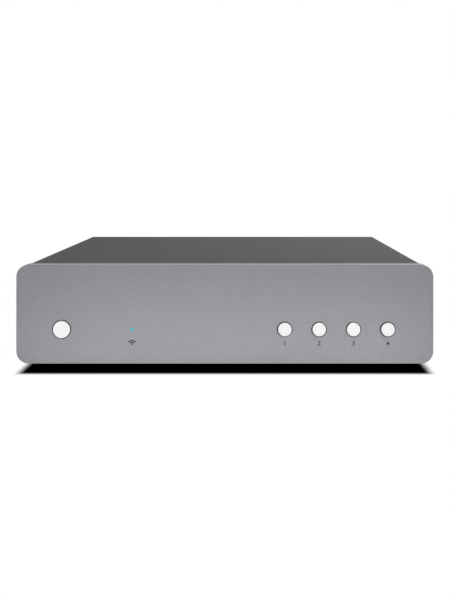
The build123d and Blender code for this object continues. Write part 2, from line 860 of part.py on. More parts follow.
def ethernet_housing():
    """The moulded insert with the stepped port."""
    z = board_top + ethernet_high / 2
    inset = ethernet_shell_wall + screw_gap
    body = along_y(plate(ethernet_x, z, ethernet_wide - 2 * inset, ethernet_high - 2 * inset),
                   socket_face - ethernet_deep + inset, socket_face - ethernet_shell_wall)
    low = board_top + ethernet_port_low
    port = plate(ethernet_x, low + ethernet_latch_high + ethernet_port_high / 2, ethernet_port_wide,
                 ethernet_port_high)
    port += plate(ethernet_x, low + ethernet_latch_high / 2, ethernet_latch_wide, ethernet_latch_high)
    return body - along_y(port, socket_face - ethernet_port_deep, socket_face + overrun)


def ethernet_contacts():
    """Eight spring wires sloping down into the top of the port."""
    top = board_top + ethernet_port_low + ethernet_latch_high + ethernet_port_high
    inner = socket_face - ethernet_port_deep
    radius = ethernet_contact_radius
    wires = []
    for index in range(ethernet_contact_count):
        x = ethernet_x + (index - (ethernet_contact_count - 1) / 2) * ethernet_contact_pitch
        low_end = (x, inner + radius, top - ethernet_contact_drop)
        line = Line(low_end, (x, inner + ethernet_contact_long, top - 2 * radius))
        wires.append(sweep(Plane(line @ 0, z_dir=line % 0) * Rectangle(2 * radius, 2 * radius), line))
    return group(wires)


def optical_jack():
    """The optical socket: a square port with soft corners, a lens at its end and the shutter's bearings."""
    outline = plate(optical_x, optical_z, optical_wide, optical_high)
    body = along_y(outline, socket_face - optical_deep, socket_face)
    port = soft_plate(optical_x, optical_z, optical_port, optical_port, optical_port_corner)
    inner = socket_face - optical_port_deep
    body -= along_y(port, inner, socket_face + overrun)
    body += along_y(disc(optical_x, optical_z, optical_lens_radius), inner, inner + optical_lens_out)
    reach = optical_port / 2 - shutter_side_gap + shutter_pin_long + body_gap
    pin_hole = disc(shutter_y, shutter_z, shutter_pin_radius + run_gap)
    return body - along_x(pin_hole, optical_x - reach, optical_x + reach)


def optical_shutter():
    """The sprung flap that closes the optical port, with a stub pin at each end of its top edge."""
    half = optical_port / 2 - shutter_side_gap
    low = optical_z - optical_port / 2 + shutter_side_gap
    outline = disc(shutter_y, shutter_z, shutter_thick / 2)
    outline += plate(shutter_y, (low + shutter_z) / 2, shutter_thick, shutter_z - low)
    flap = along_x(outline, optical_x - half, optical_x + half)
    corners = flap.edges().filter_by(Axis.Y).group_by(Axis.Z)[0]
    flap = fillet(corners, optical_port_corner)
    pin = disc(shutter_y, shutter_z, shutter_pin_radius)
    return flap + along_x(pin, optical_x - half - shutter_pin_long, optical_x + half + shutter_pin_long)


def rca_housings():
    """The moulded blocks that hold the phono sockets: a pair for the line output and a single."""
    pair = (line_right_x - phono_wide / 2, line_left_x + phono_wide / 2)
    single = (coax_x - phono_wide / 2, coax_x + phono_wide / 2)
    front = rear_inside - phono_deep
    housings = []
    for x0, x1 in (pair, single):
        body = bar(x0, x1, front, rear_inside - fit_gap, board_top, board_top + phono_high)
        for x in phono_spots.values():
            hole = disc(x, phono_z, phono_neck_radius + screw_gap)
            body -= along_y(hole, rear_inside - phono_barrel_in, rear_inside + overrun)
        housings.append(body)
    return group(housings)


def rca_barrels():
    """The three plated barrels, each with a thinner neck through the collar and into the block."""
    root = rear_inside - phono_barrel_in + screw_gap
    shoulder = rear_face + phono_ring_thick
    mouth = rear_face + phono_barrel_out
    tubes = []
    for x in phono_spots.values():
        tube = along_y(disc(x, phono_z, phono_barrel_radius), shoulder, mouth)
        tube += along_y(disc(x, phono_z, phono_neck_radius), root, shoulder)
        tubes.append(tube - along_y(disc(x, phono_z, phono_bore_radius), root, mouth))
    return group(tubes)


def phono_ring(x):
    """The coloured collar round a barrel and the insulator of the same colour inside it."""
    collar = disc(x, phono_z, phono_ring_radius) - disc(x, phono_z, phono_neck_radius + screw_gap)
    core = disc(x, phono_z, phono_bore_radius - screw_gap) - disc(x, phono_z, phono_core_bore)
    return group([along_y(collar, rear_face, rear_face + phono_ring_thick),
                  along_y(core, rear_inside - phono_barrel_in + screw_gap,
                          rear_face + phono_barrel_out - phono_core_short)])


def antenna_jacks():
    """The two threaded bulkhead jacks and their nuts."""
    parts = []
    for side in (-1, 1):
        x = side * antenna_x
        jack = along_y(disc(x, antenna_z, jack_radius), rear_inside - jack_in, rear_face + jack_out)
        jack += along_y(disc(x, antenna_z, jack_rim_radius), rear_inside - jack_rim_thick, rear_inside)
        nut = Pos(x, antenna_z) * RegularPolygon(nut_radius, hex_sides)
        nut -= disc(x, antenna_z, jack_radius + screw_gap)
        parts.append(jack)
        parts.append(along_y(nut, rear_face, rear_face + nut_thick))
    return group(parts)


def antenna_base(side):
    """The swivel: a grip ring that runs on the jack and the fork of the tilting hinge."""
    x = side * antenna_x
    ring_front = rear_face + nut_thick + body_gap
    ring_back = hinge_y - tongue_radius - body_gap
    ring = disc(x, antenna_z, swivel_radius)
    for index in range(swivel_ribs):
        angle = 2 * math.pi * index / swivel_ribs
        ring -= disc(x + swivel_radius * math.cos(angle), antenna_z + swivel_radius * math.sin(angle),
                     swivel_rib_deep)
    body = along_y(ring, ring_front, ring_back)
    cheek = disc(x, hinge_y, fork_radius)
    cheek += plate(x, (ring_back + hinge_y) / 2, 2 * fork_radius, hinge_y - ring_back)
    body += along_z(cheek, antenna_z - fork_half, antenna_z + fork_half)
    slot_half = tongue_half + body_gap
    body -= bar(x - 2 * fork_radius, x + 2 * fork_radius, ring_back, hinge_y + 2 * fork_radius,
                antenna_z - slot_half, antenna_z + slot_half)
    bore_end = rear_face + jack_out + body_gap
    body -= along_y(disc(x, antenna_z, jack_radius + run_gap), ring_front - overrun, bore_end)
    pin = disc(x, hinge_y, hinge_pin_radius + screw_gap)
    return body - along_z(pin, antenna_z - 2 * fork_half, antenna_z + 2 * fork_half)


def antenna_rod(side):
    """The tapered rod with a round end and the flat tongue that turns in the fork."""
    x = side * antenna_x
    shoulder = rod_start + rod_radius / 2
    dome = antenna_long - rod_tip_radius
    sides = Polyline((0, antenna_long), (0, rod_start), (tongue_radius, rod_start), (rod_radius, shoulder),
                     (rod_tip_radius, dome))
    end = RadiusArc((rod_tip_radius, dome), (0, antenna_long), -rod_tip_radius)
    rod = revolve(make_face([*sides.edges(), end]), Axis.Y)
    rod = Pos(x, hinge_y, antenna_z) * Rot(0, 0, side * quarter_turn) * rod
    tongue = disc(x, hinge_y, tongue_radius)
    tongue += plate(x - side * rod_start / 2, hinge_y, rod_start + overrun, 2 * tongue_radius)
    rod += along_z(tongue, antenna_z - tongue_half, antenna_z + tongue_half)
    pin = disc(x, hinge_y, hinge_pin_radius + run_gap)
    return rod - along_z(pin, antenna_z - 2 * tongue_half, antenna_z + 2 * tongue_half)


def antenna_pin(side):
    """The hinge pin, as long as the fork is wide."""
    pin = disc(side * antenna_x, hinge_y, hinge_pin_radius)
    return along_z(pin, antenna_z - fork_half, antenna_z + fork_half)


def ribbon_cable():
    """The flat cable from the key board down to the main board."""
    start = key_back + ribbon_socket_high
    low = board_top + ribbon_socket_high / 2
    third = (main_front - start) / 3
    path = FilletPolyline((start, row_z), (start + third, row_z), (start + 2 * third, low),
                          (main_front, low), radius=ribbon_bend)
    outline = trace(path, line_width=ribbon_thick)
    return along_x(outline, ribbon_x - ribbon_wide / 2, ribbon_x + ribbon_wide / 2)


def board_connectors():
    """Sockets for the ribbon, the power leads and the mains leads."""
    face = plate(ribbon_x, row_z, ribbon_socket_wide, ribbon_socket_deep)
    parts = [along_y(face, key_back, key_back + ribbon_socket_high),
             block(ribbon_x, main_front + ribbon_socket_deep / 2, ribbon_socket_wide, ribbon_socket_deep,
                   board_top, board_top + ribbon_socket_high)]
    for x, y in (dc_start, dc_end, mains_end):
        parts.append(block(x, y, terminal_wide, terminal_deep, board_top, board_top + terminal_high))
    return group(parts)


def antenna_lead(side):
    """One thin six-sided lead from a jack's back to the radio board."""
    back = rear_inside - jack_in
    x = module_x + side * (module_wide / 2 - can_margin / 2)
    y = module_y - module_deep / 2
    start = (side * antenna_x, back, antenna_z)
    turn = (side * antenna_x, back - 2 * wire_bend, antenna_z)
    path = FilletPolyline(start, turn, (x, y, antenna_z), (x, y, module_top), radius=wire_bend)
    return sweep(Plane(path @ 0, z_dir=path % 0) * RegularPolygon(coax_wire_radius, hex_sides), path)


def wires():
    """The flat supply lead, the two mains leads and the two antenna leads."""
    top = board_top + terminal_high
    rise = top + 2 * wire_bend
    path = FilletPolyline((dc_start[0], top), (dc_start[0], rise), (dc_end[0], rise), (dc_end[0], top),
                          radius=wire_bend)
    parts = [along_y(trace(path, line_width=lead_thick), supply_y - lead_wide / 2, supply_y + lead_wide / 2)]
    for side in (-1, 1):
        mains = Pos(inlet_x + side * inlet_pin_pitch / 2, inlet_z) * RegularPolygon(wire_radius, hex_sides)
        parts.append(along_y(mains, psu_back, rear_face - inlet_body_deep - inlet_tab_out))
        parts.append(antenna_lead(side))
    return group(parts)


makers = (
    front_panel, top_cover, base_tray, rear_panel, feet, case_screws, button_guide, tact_switches,
    key_board, light_pipe, status_led, main_board, psu_board, standoffs, board_screws,
    insulation_sheet, network_module, shield_can, chips, capacitors, transformer_core,
    transformer_winding, heatsink, mains_choke, fuse, mains_inlet, mains_pins, usb_shell,
    usb_tongue, ethernet_shell, ethernet_housing, ethernet_contacts, optical_jack, optical_shutter,
    rca_housings, rca_barrels, antenna_jacks, ribbon_cable, board_connectors, wires,
)
pieces = {maker.__name__: maker() for maker in makers}
for name, x, radius in buttons:
    pieces[f"{name}_button"] = button_cap(x, radius)
    pieces[f"{name}_plunger"] = switch_plunger(x)
for name, x in phono_spots.items():
    pieces[name] = phono_ring(x)
for word, side in (("left", -1), ("right", 1)):
    pieces[f"antenna_base_{word}"] = antenna_base(side)
    pieces[f"antenna_rod_{word}"] = antenna_rod(side)
    pieces[f"antenna_pin_{word}"] = antenna_pin(side)

os.makedirs("parts", exist_ok=True)
for name, shape in pieces.items():
    export_step(shape, f"parts/{name}.step")
print(len(pieces), "pieces written")
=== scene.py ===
# %% [markdown]
# This lesson dresses a half-width network music streamer and sets it up as a product shot.
# The object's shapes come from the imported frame, so most cells here are about surfaces:
# blasted and turned aluminium, powder coat, moulded plastic, plated sockets and rubber.
# New pieces are only the printed numbers and the small wireless mark on the front.

# %% Load the frame
import math

import bmesh
import bpy
from mathutils import Matrix, Vector


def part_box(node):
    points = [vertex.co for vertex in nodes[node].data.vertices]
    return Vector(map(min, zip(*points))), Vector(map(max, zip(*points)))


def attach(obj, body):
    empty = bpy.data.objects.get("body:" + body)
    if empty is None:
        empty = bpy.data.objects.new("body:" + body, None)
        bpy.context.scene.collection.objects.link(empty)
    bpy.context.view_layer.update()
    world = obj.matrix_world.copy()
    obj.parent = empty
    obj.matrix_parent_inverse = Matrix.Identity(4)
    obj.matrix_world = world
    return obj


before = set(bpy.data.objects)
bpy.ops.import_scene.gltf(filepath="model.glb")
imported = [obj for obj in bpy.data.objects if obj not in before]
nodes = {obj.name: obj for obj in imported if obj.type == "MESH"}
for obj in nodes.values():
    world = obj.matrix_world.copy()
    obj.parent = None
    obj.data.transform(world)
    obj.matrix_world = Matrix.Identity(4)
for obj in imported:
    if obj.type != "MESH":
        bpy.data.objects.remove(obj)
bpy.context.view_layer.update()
MM = 0.001

# %% [markdown]
# Every place below is read from the frame: the panel's face, the button row and the light
# pipe. That way the prints stay put if the case changes size.

# %% Read the places that the scene needs
panel_low, panel_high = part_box("front_panel")
panel_face = panel_low.y
panel_wide = panel_high.x - panel_low.x
panel_tall = panel_high.z - panel_low.z
rear_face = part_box("rear_panel")[1].y
pipe_low, pipe_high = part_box("light_pipe")
pipe_x = (pipe_low.x + pipe_high.x) / 2
row_z = (pipe_low.z + pipe_high.z) / 2
preset_names = [f"preset_{number}_button" for number in range(1, 5)]
caps = ["power_button", *preset_names]


def middle(node):
    """The middle of a node's box."""
    low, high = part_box(node)
    return (low + high) / 2


print("panel", round(panel_wide, 4), "by", round(panel_tall, 4), "face at", round(panel_face, 4))

# %% [markdown]
# The camera is level and looks straight along the depth of the case. Its lens is shifted
# instead of tilted, so the panel's sides stay upright, as a product photographer does it.
# The vanishing point of the cover's long edges is the pixel that the camera's axis passes
# through, and the panel's width in pixels gives the focal length.

# %% Place the camera
IMAGE_WIDE = 450
IMAGE_TALL = 600
SENSOR = 36.0
PANEL_PIXELS = 417.2
VANISH_X = 251.0
VANISH_Y = 168.7
CAMERA_AWAY = 0.4461
CAMERA_RIGHT = 0.0135
CAMERA_OVER_PANEL = 0.04945

focal_pixels = PANEL_PIXELS / panel_wide * CAMERA_AWAY
camera_data = bpy.data.cameras.new("camera")
camera_data.sensor_width = SENSOR
camera_data.lens = SENSOR * focal_pixels / IMAGE_TALL
camera_data.shift_x = (IMAGE_WIDE / 2 - VANISH_X) / IMAGE_TALL
camera_data.shift_y = (VANISH_Y - IMAGE_TALL / 2) / IMAGE_TALL
camera = bpy.data.objects.new("camera", camera_data)
camera.location = (CAMERA_RIGHT, panel_face - CAMERA_AWAY, panel_high.z + CAMERA_OVER_PANEL)
camera.rotation_euler = (math.pi / 2, 0, 0)
bpy.context.scene.collection.objects.link(camera)
bpy.context.scene.camera = camera
print("lens", round(camera_data.lens, 2),
      "shift", round(camera_data.shift_x, 4), round(camera_data.shift_y, 4))

# %% [markdown]
# A material is a sum of patterns, and sums read best as Python. This class wraps one output
# socket: adding or multiplying two of them adds the Math node that does it, and `node` adds
# any other kind, setting its options first and then its sockets.


# %% A socket that can do sums
class Signal:
    """One output socket of a material's nodes."""

    def __init__(self, tree, socket):
        self.tree = tree
        self.socket = socket

    def node(self, kind, settings=None, inputs=None, output=0):
        """Adds a node, with its settings and the values or links of its sockets."""
        added = self.tree.nodes.new(kind)
        for name, value in (settings or {}).items():
            if name == "stops":
                fill_ramp(added.color_ramp, value)
            else:
                setattr(added, name, value)
        for name, value in (inputs or {}).items():
            if isinstance(value, Signal):
                self.tree.links.new(value.socket, added.inputs[name])
            else:
                added.inputs[name].default_value = value
        return Signal(self.tree, added.outputs[output])

    def _math(self, operation, first, second):
        return self.node("ShaderNodeMath", {"operation": operation}, {0: first, 1: second})

    def __add__(self, other):
        return self._math("ADD", self, other)

    def __radd__(self, other):
        return self._math("ADD", other, self)

    def __sub__(self, other):
        return self._math("SUBTRACT", self, other)

    def __rsub__(self, other):
        return self._math("SUBTRACT", other, self)

    def __mul__(self, other):
        return self._math("MULTIPLY", self, other)

    def __rmul__(self, other):
        return self._math("MULTIPLY", other, self)


def fill_ramp(ramp, stops):
    """Gives a colour ramp its stops, each a place and a grey level."""
    while len(ramp.elements) < len(stops):
        ramp.elements.new(1.0)
    for element, (place, grey) in zip(ramp.elements, stops):
        element.position = place
        element.color = (grey, grey, grey, 1.0)


print("sockets can be added, subtracted and multiplied")

# %% [markdown]
# Each finish starts the same way: a Principled shader with its plain numbers set on its own
# sockets, and the object coordinates, which are metres here. The helpers below turn those
# metres into the patterns that the finishes share: grain, ramps, tints and bumps.


# %% Helpers that every finish uses
class Finish:
    """A material with a Principled shader and object coordinates to build patterns on."""

    def __init__(self, name, **values):
        self.material = bpy.data.materials.new(name)
        self.material.use_nodes = True
        self.tree = self.material.node_tree
        self.shader = self.tree.nodes["Principled BSDF"]
        for socket, value in values.items():
            self.shader.inputs[socket.replace("_", " ")].default_value = value
        coordinates = self.tree.nodes.new("ShaderNodeTexCoord")
        self.place = Signal(self.tree, coordinates.outputs["Object"])

    def grain(self, size, detail=2.0, stretch=(1, 1, 1)):
        """Noise whose lumps are about that many metres across, longer where stretch is large."""
        scale = tuple(1 / (size * part) for part in stretch)
        mapped = self.place.node("ShaderNodeMapping", {}, {"Vector": self.place, "Scale": scale})
        return mapped.node("ShaderNodeTexNoise", {},
                           {"Vector": mapped, "Scale": 1.0, "Detail": detail})

    def ramp(self, signal, stops):
        return self.place.node("ShaderNodeValToRGB", {"stops": stops}, {"Fac": signal})

    def mix(self, factor, first, second):
        """The first colour where factor is 0 and the second where it is 1."""
        colours = [colour if isinstance(colour, Signal) else (*colour, 1.0)
                   for colour in (first, second)]
        return self.place.node("ShaderNodeMix", {"data_type": "RGBA"},
                               {0: factor, 6: colours[0], 7: colours[1]}, output=2)

    def tint(self, factor, dark, light):
        """Colours the surface between two colours."""
        self.link("Base Color", self.mix(factor, dark, light))

    def axis(self, index):
        """One coordinate in metres: 0 across, 1 deep, 2 up."""
        return self.place.node("ShaderNodeSeparateXYZ", {}, {"Vector": self.place}, output=index)

    def fade(self, signal, start, end):
        """0 up to start, 1 from end on."""
        return signal.node("ShaderNodeMapRange", {},
                           {"Value": signal, "From Min": start, "From Max": end})

    def near(self, signal, centre, reach):
        """1 where the signal is within reach of centre."""
        return signal.node("ShaderNodeMath", {"operation": "COMPARE"},
                           {0: signal, 1: centre, 2: reach})

    def along(self, direction):
        """Metres along a direction, from the object's origin."""
        return self.place.node("ShaderNodeVectorMath", {"operation": "DOT_PRODUCT"},
                               {0: self.place, 1: direction}, output=1)

    def off_centre(self, centre):
        """Metres from a line that runs along the depth through centre."""
        moved = self.place.node("ShaderNodeMapping", {},
                                {"Vector": self.place, "Location": -centre})
        flat = moved.node("ShaderNodeVectorMath", {"operation": "MULTIPLY"},
                          {0: moved, 1: (1, 0, 1)})
        return flat.node("ShaderNodeVectorMath", {"operation": "LENGTH"}, {0: flat}, output=1)

    def bump(self, height, depth, strength=1.0):
        """Lifts the surface by up to depth metres where height is 1."""
        lifted = self.place.node("ShaderNodeBump", {},
                                 {"Height": height, "Distance": depth, "Strength": strength})
        self.link("Normal", lifted)

    def link(self, socket, signal):
        self.tree.links.new(signal.socket, self.shader.inputs[socket])


def dress(material, *names):
    """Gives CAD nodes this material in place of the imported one."""
    for name in names:
        mesh = nodes[name].data
        mesh.materials.clear()
        mesh.materials.append(material)


print("finish helpers ready")

# %% [markdown]
# The front panel is a thick aluminium plate, blasted with glass beads and then anodised. The
# beads leave tiny dents that spread each reflection, so the plate looks like soft grey frost
# with a fine sparkle. It is a metal with a middling roughness, and two sizes of grain vary its
# colour, roughness and height.
#
# Three painted shades are added to the frost. The plate's milled edge is painted darker towards
# the cover behind it, as painted shade. The walls of the button holes are painted nearly black,
# as shade, because little light gets into a gap of 0.4 mm, and this painted shade starts sooner
# at the upper left. There each cap's short soft shadow is painted on the face, which shows as a
# thin dark crescent beside it. All three are fades on the object's own coordinates, so they stay
# put from every side.


# %% Finish of the front panel
UP_LEFT = Vector((-0.97, 0, 0.24))
# The colour of painted shade: in the holes, beside the caps and on the caps' sides.
CAVITY_SHADE = (0.012, 0.012, 0.013)
# Painted shade on the plate's milled edge, darker towards the cover behind it.
EDGE_SHADE = (0.085, 0.085, 0.09)
EDGE_START = 0.5 * MM
EDGE_END = 6 * MM
ROW_REACH = 8 * MM
HOLE_SPAN = 3.6 * MM
HOLE_GAP = 0.39 * MM
WALL_START = 0.82 * MM
WALL_SOFT = 0.1 * MM
WALL_SHIFT = 0.8 * MM
SHADOW_LONG = 0.2 * MM
SHADOW_SOFT = 0.12 * MM


def hole_radius(cap):
    """The radius of a cap's hole: half the width of what stands before the panel, and the gap."""
    xs = [vertex.co.x for vertex in nodes[cap].data.vertices if vertex.co.y < panel_face]
    return (max(xs) - min(xs)) / 2 + HOLE_GAP


def hole_walls(finish):
    """1 on the walls of the row's holes, painted as shade, from a smaller depth at each hole's
    upper left.
    """
    across, deep, up = [finish.axis(index) for index in range(3)]
    along = finish.along(UP_LEFT)
    turned = sum(finish.near(across, middle(cap).x, ROW_REACH) * (along - middle(cap).dot(UP_LEFT))
                 for cap in caps)
    shaded = finish.fade(turned, -HOLE_SPAN, HOLE_SPAN)
    row = (finish.near(up, row_z, ROW_REACH)
           * finish.near(across, 0.0, panel_wide / 2 - ROW_REACH))
    start = panel_face + WALL_START
    return row * finish.fade(deep + WALL_SHIFT * shaded, start, start + WALL_SOFT)


def cap_shadows(finish):
    """1 in the disc of painted shadow round each cap, which lies a little to its upper left."""
    return sum(1 - finish.fade(finish.off_centre(middle(cap) + SHADOW_LONG * UP_LEFT),
                               hole_radius(cap) - SHADOW_SOFT, hole_radius(cap) + SHADOW_SOFT)
               for cap in caps)


def blasted_aluminium():
    """Bead-blasted, grey anodised plate."""
    finish = Finish("blasted_aluminium", Metallic=0.45)
    sparkle = finish.grain(0.7 * MM, detail=3.0)
    clouds = finish.grain(9 * MM)
    frost = finish.mix(0.92 * sparkle + 0.08 * clouds,
                       (0.155, 0.153, 0.165), (0.345, 0.341, 0.362))
    # The milled edge is painted darker towards the cover, as painted shade.
    edge = finish.fade(finish.axis(1), panel_face + EDGE_START, panel_face + EDGE_END)
    frost = finish.mix(edge, frost, EDGE_SHADE)
    # A short soft shadow of each cap is painted on the face, to its upper left.
    frost = finish.mix(cap_shadows(finish), frost, CAVITY_SHADE)
    # The holes' walls are painted near black, as painted shade.
    finish.link("Base Color", finish.mix(hole_walls(finish), frost, CAVITY_SHADE))
    finish.link("Roughness", 0.40 + 0.14 * sparkle)
    finish.bump(sparkle, 0.006 * MM)
    return finish.material


dress(blasted_aluminium(), "front_panel")
print("front panel is blasted aluminium")

# %% [markdown]
# The bent cover and the rear plate are sheet steel with a satin powder coat. Baked powder
# leaves a very shallow orange peel, and under a low view a strong gloss would turn the dark
# top white, so the coat's specular level is kept low and its roughness high.


# %% Finish of the painted sheets
def powder_coat(name, dark, light):
    """Satin powder coat with a shallow orange peel and a fine speckle."""
    finish = Finish(name, Specular_IOR_Level=0.0)
    peel = finish.grain(1.1 * MM)
    speckle = finish.grain(0.4 * MM, detail=1.0)
    finish.tint(speckle, dark, light)
    finish.link("Roughness", 0.46 + 0.16 * peel)
    finish.bump(0.7 * peel + 0.3 * speckle, 0.012 * MM)
    return finish.material


dress(powder_coat("cover_coat", (0.098, 0.098, 0.102), (0.146, 0.146, 0.151)), "top_cover")
dress(powder_coat("rear_coat", (0.024, 0.024, 0.026), (0.043, 0.043, 0.045)), "rear_panel")
print("cover and rear plate are powder coated")

# %% [markdown]
# Each button is turned from aluminium bar. The lathe leaves fine rings about the middle, and
# these rings draw the soft bow-tie of light that moves when the part is turned. The rings here
# are noise that only depends on the distance from the cap's own middle, which a Mapping node
# brings to zero. The cap's side is painted dark where it goes into its hole, as painted shade
# like that on the wall round it.


# %% Finish of the button caps
CAP_SHADE_START = 0.3 * MM
CAP_SHADE_SOFT = 0.1 * MM
CAP_SHADE_SHIFT = 0.9 * MM


def spun_aluminium(name):
    """Turned aluminium whose rings run about the middle of the named cap."""
    finish = Finish(f"spun_{name}", Metallic=1.0)
    centre = middle(name)
    radius = finish.off_centre(centre)
    rings = radius.node("ShaderNodeTexNoise", {"noise_dimensions": "1D"},
                        {"W": radius * (1 / (0.16 * MM)), "Scale": 1.0, "Detail": 2.0})
    bright = finish.mix(rings, (0.86, 0.86, 0.865), (0.955, 0.955, 0.96))
    # Painted shade on the cap's side inside its hole, reaching nearer the face at the upper left.
    shaded = finish.fade(finish.along(UP_LEFT) - centre.dot(UP_LEFT),
                         0.3 * HOLE_SPAN, 0.9 * HOLE_SPAN)
    start = panel_face + CAP_SHADE_START
    side_shade = finish.fade(finish.axis(1) + CAP_SHADE_SHIFT * shaded, start, start + CAP_SHADE_SOFT)
    finish.link("Base Color", finish.mix(side_shade, bright, CAVITY_SHADE))
    finish.link("Roughness", 0.24 + 0.12 * rings)
    finish.bump(rings, 0.005 * MM)
    return finish.material


for cap in caps:
    dress(spun_aluminium(cap), cap)
print(len(caps), "caps are spun aluminium")

# %% [markdown]
# The status light is a clear rod with a lamp behind it. What shows is the rod's lit end, so
# the rod itself glows, a little less towards its rim, where the light leaks away.


# %% Finish of the status light
def lit_pipe():
    """Clear rod that carries a blue-green light."""
    finish = Finish("lit_pipe", Roughness=0.25, Specular_IOR_Level=0.2, Emission_Strength=1.0)
    radius = finish.off_centre(middle("light_pipe"))
    glow = finish.ramp(radius * (1 / MM), [(0.25, 1.0), (0.8, 0.55)])
    finish.link("Emission Color", finish.mix(glow, (0.0, 0.17, 0.185), (0.005, 0.43, 0.455)))
    finish.tint(glow, (0.01, 0.06, 0.07), (0.02, 0.1, 0.11))
    return finish.material


dress(lit_pipe(), "light_pipe", "status_led")
print("status light glows")

# %% [markdown]
# The tray, the spacers and the radio's lid are zinc-plated steel. Zinc shows faint cloudy
# crystals and the rolling direction of the sheet, so one grain is stretched along the width
# and the other is a cell pattern.


# %% Finish of the plated steel
def plated_sheet():
    """Bright zinc plate with rolled grain and pale crystals."""
    finish = Finish("plated_sheet", Metallic=1.0)
    rolled = finish.grain(0.5 * MM, stretch=(30, 1, 1))
    mapped = finish.place.node("ShaderNodeMapping", {},
                               {"Vector": finish.place, "Scale": (180, 180, 180)})
    crystals = mapped.node("ShaderNodeTexVoronoi", {}, {"Vector": mapped, "Scale": 1.0}, output=1)
    shade = crystals.node("ShaderNodeRGBToBW", {}, {"Color": crystals})
    finish.tint(0.6 * rolled + 0.4 * shade, (0.34, 0.35, 0.36), (0.60, 0.61, 0.62))
    finish.link("Roughness", 0.26 + 0.12 * rolled + 0.1 * shade)
    finish.bump(rolled, 0.004 * MM)
    return finish.material


dress(plated_sheet(), "base_tray", "standoffs", "shield_can")
print("tray, spacers and lid are zinc plated")

# %% [markdown]
# The screws are black oxide steel and the sockets are nickel plate. Both are metals whose look
# comes from fine scratches and handling marks, so one helper makes them and the gold of the
# contacts from two colours and a roughness.


# %% Finishes of the small metal pieces
def plated(name, dark, light, rough):
    """A plated or blackened metal with fine scratches."""
    finish = Finish(name, Metallic=1.0)
    scratches = finish.grain(0.3 * MM, stretch=(1, 8, 1))
    haze = finish.grain(2.5 * MM)
    finish.tint(0.5 * scratches + 0.5 * haze, dark, light)
    finish.link("Roughness", rough + 0.15 * haze)
    finish.bump(scratches, 0.002 * MM)
    return finish.material


dress(plated("black_oxide", (0.035, 0.035, 0.037), (0.075, 0.074, 0.073), 0.32),
      "case_screws", "board_screws", "antenna_pin_left", "antenna_pin_right")
dress(plated("nickel_plate", (0.48, 0.46, 0.42), (0.68, 0.65, 0.60), 0.16),
      "fuse", "mains_pins", "usb_shell", "ethernet_shell", "rca_barrels")
dress(plated("gold_plate", (0.62, 0.38, 0.10), (0.86, 0.60, 0.22), 0.18),
      "ethernet_contacts", "antenna_jacks")
print("screws, shells and contacts are plated")

# %% [markdown]
# Moulded plastic copies the texture of its steel mould. Sockets and brackets come from a
# sparked mould with a fine even grain, the antennas from a smoother one, and the coloured
# collars and white sockets from a polished one. The helper's grain depth is what differs.


# %% Finishes of the moulded plastics
def moulded(name, dark, light, rough, depth):
    """Moulded plastic with the spark-eroded grain of its mould."""
    finish = Finish(name, Specular_IOR_Level=0.4)
    spark = finish.grain(0.35 * MM)
    flow = finish.grain(6 * MM)
    finish.tint(0.6 * spark + 0.4 * flow, dark, light)
    finish.link("Roughness", rough + 0.14 * spark)
    finish.bump(spark, depth)
    return finish.material


dress(moulded("bracket_plastic", (0.014, 0.014, 0.015), (0.030, 0.030, 0.031), 0.45, 0.010 * MM),
      "button_guide", "tact_switches", "chips", "usb_tongue", "rca_housings", "power_plunger",
      *[name.replace("button", "plunger") for name in preset_names])
dress(moulded("socket_plastic", (0.012, 0.012, 0.013), (0.026, 0.026, 0.027), 0.42, 0.014 * MM),
      "mains_inlet", "ethernet_housing", "optical_jack", "optical_shutter")
dress(moulded("antenna_plastic", (0.014, 0.014, 0.014), (0.028, 0.028, 0.028), 0.36, 0.006 * MM),
      "antenna_base_left", "antenna_base_right", "antenna_rod_left", "antenna_rod_right")
dress(moulded("white_plastic", (0.66, 0.66, 0.64), (0.80, 0.80, 0.78), 0.26, 0.003 * MM),
      "rca_left_ring", "ribbon_cable", "board_connectors")
dress(moulded("red_plastic", (0.42, 0.012, 0.012), (0.60, 0.028, 0.026), 0.26, 0.003 * MM),
      "rca_right_ring")
dress(moulded("orange_plastic", (0.62, 0.15, 0.008), (0.80, 0.23, 0.014), 0.26, 0.003 * MM),
      "coax_ring")
dress(moulded("wire_jacket", (0.030, 0.030, 0.034), (0.055, 0.055, 0.060), 0.34, 0.003 * MM),
      "wires")
print("plastics are moulded")

# %% [markdown]
# The feet are moulded rubber. Rubber has almost no gloss and greys where it is handled, so its
# grain is coarse and its roughness high.


# %% Finish of the feet
def moulded_rubber():
    """Matt rubber with a coarse skin and a grey bloom."""
    finish = Finish("moulded_rubber", Specular_IOR_Level=0.25)
    skin = finish.grain(0.6 * MM)
    bloom = finish.ramp(finish.grain(4 * MM), [(0.35, 0.0), (0.75, 1.0)])
    finish.tint(bloom, (0.014, 0.014, 0.014), (0.034, 0.034, 0.035))
    finish.link("Roughness", 0.72 + 0.16 * skin)
    finish.bump(skin, 0.03 * MM)
    return finish.material


dress(moulded_rubber(), "feet")
print("feet are rubber")

# %% [markdown]
# A circuit board is glass fibre under green lacquer, with copper tracks that show through as
# paler straight lines. A brick pattern with a wide mortar gives such a lattice, and the weave
# of the glass gives the fine bump.


